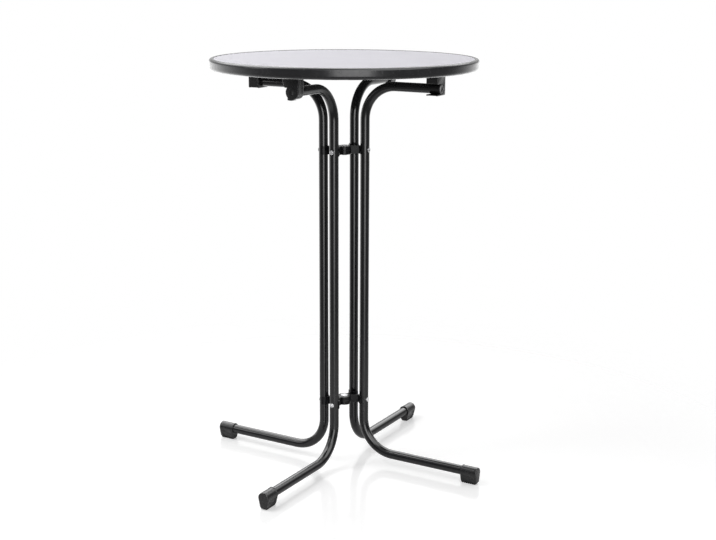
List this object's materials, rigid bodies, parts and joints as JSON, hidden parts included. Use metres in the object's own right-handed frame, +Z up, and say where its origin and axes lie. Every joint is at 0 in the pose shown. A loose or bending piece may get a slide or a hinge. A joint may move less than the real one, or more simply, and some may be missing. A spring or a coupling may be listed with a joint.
{
  "type": "folding bistro table",
  "caption": "Standing-height round folding table on two crossed bent-tube frames, one of which scissors about the centre line to close against the other.",
  "frame": {"origin": "on the floor, under the middle of the round top", "axes": "+Z up along the pivot line, -Y towards the front leg of the hinge frame, +X towards the right leg of the swing frame"},
  "size_m": [0.796, 0.796, 1.11],
  "materials": {
    "board_core": "dark sealed particle board",
    "pale_laminate": "satin pale grey laminate with a fine fleck",
    "rim_moulding": "satin anthracite",
    "tube_paint": "glossy black stove enamel",
    "strap_paint": "black paint on pressed sheet",
    "black_moulding": "fine-grained black moulding",
    "bright_steel": "bright zinc-plated steel",
    "washer_nylon": "black nylon",
    "pad_rubber": "black rubber"
  },
  "bodies": {
    "top_and_hinge_frame": {"tabletop_core": "board_core", "top_laminate": "pale_laminate", "rim_band": "rim_moulding", "upper_pivot_pin": "bright_steel", "lower_pivot_pin": "bright_steel", "upper_pivot_washer": "washer_nylon", "lower_pivot_washer": "washer_nylon", "hinge_frame_rivets": "bright_steel", "hinge_frame_foot_pads": "pad_rubber", "catch_pegs": "black_moulding", "hinge_bracket_screws": "bright_steel", "clip_screws": "bright_steel", "front_hinge_tube": "tube_paint", "front_hinge_bracket": "black_moulding", "front_foot_cap": "black_moulding", "rear_hinge_tube": "tube_paint", "rear_hinge_bracket": "black_moulding", "rear_foot_cap": "black_moulding", "right_clip": "black_moulding", "right_catch_plate": "bright_steel", "left_clip": "black_moulding", "left_catch_plate": "bright_steel", "upper_hinge_strap": "strap_paint", "lower_hinge_strap": "strap_paint"},
    "swing_frame": {"right_swing_tube": "tube_paint", "left_swing_tube": "tube_paint", "upper_swing_strap": "strap_paint", "lower_swing_strap": "strap_paint", "right_run_plug": "black_moulding", "left_run_plug": "black_moulding", "right_foot_cap": "black_moulding", "left_foot_cap": "black_moulding", "swing_frame_rivets": "bright_steel", "swing_frame_foot_pads": "pad_rubber"}
  },
  "joints": [
    {"name": "leg_swing", "type": "hinge", "parent": "top_and_hinge_frame", "child": "swing_frame", "pos_m": [0, 0, 0.524], "axis": [0, 0, -1], "range_deg": [0, 88]}
  ]
}
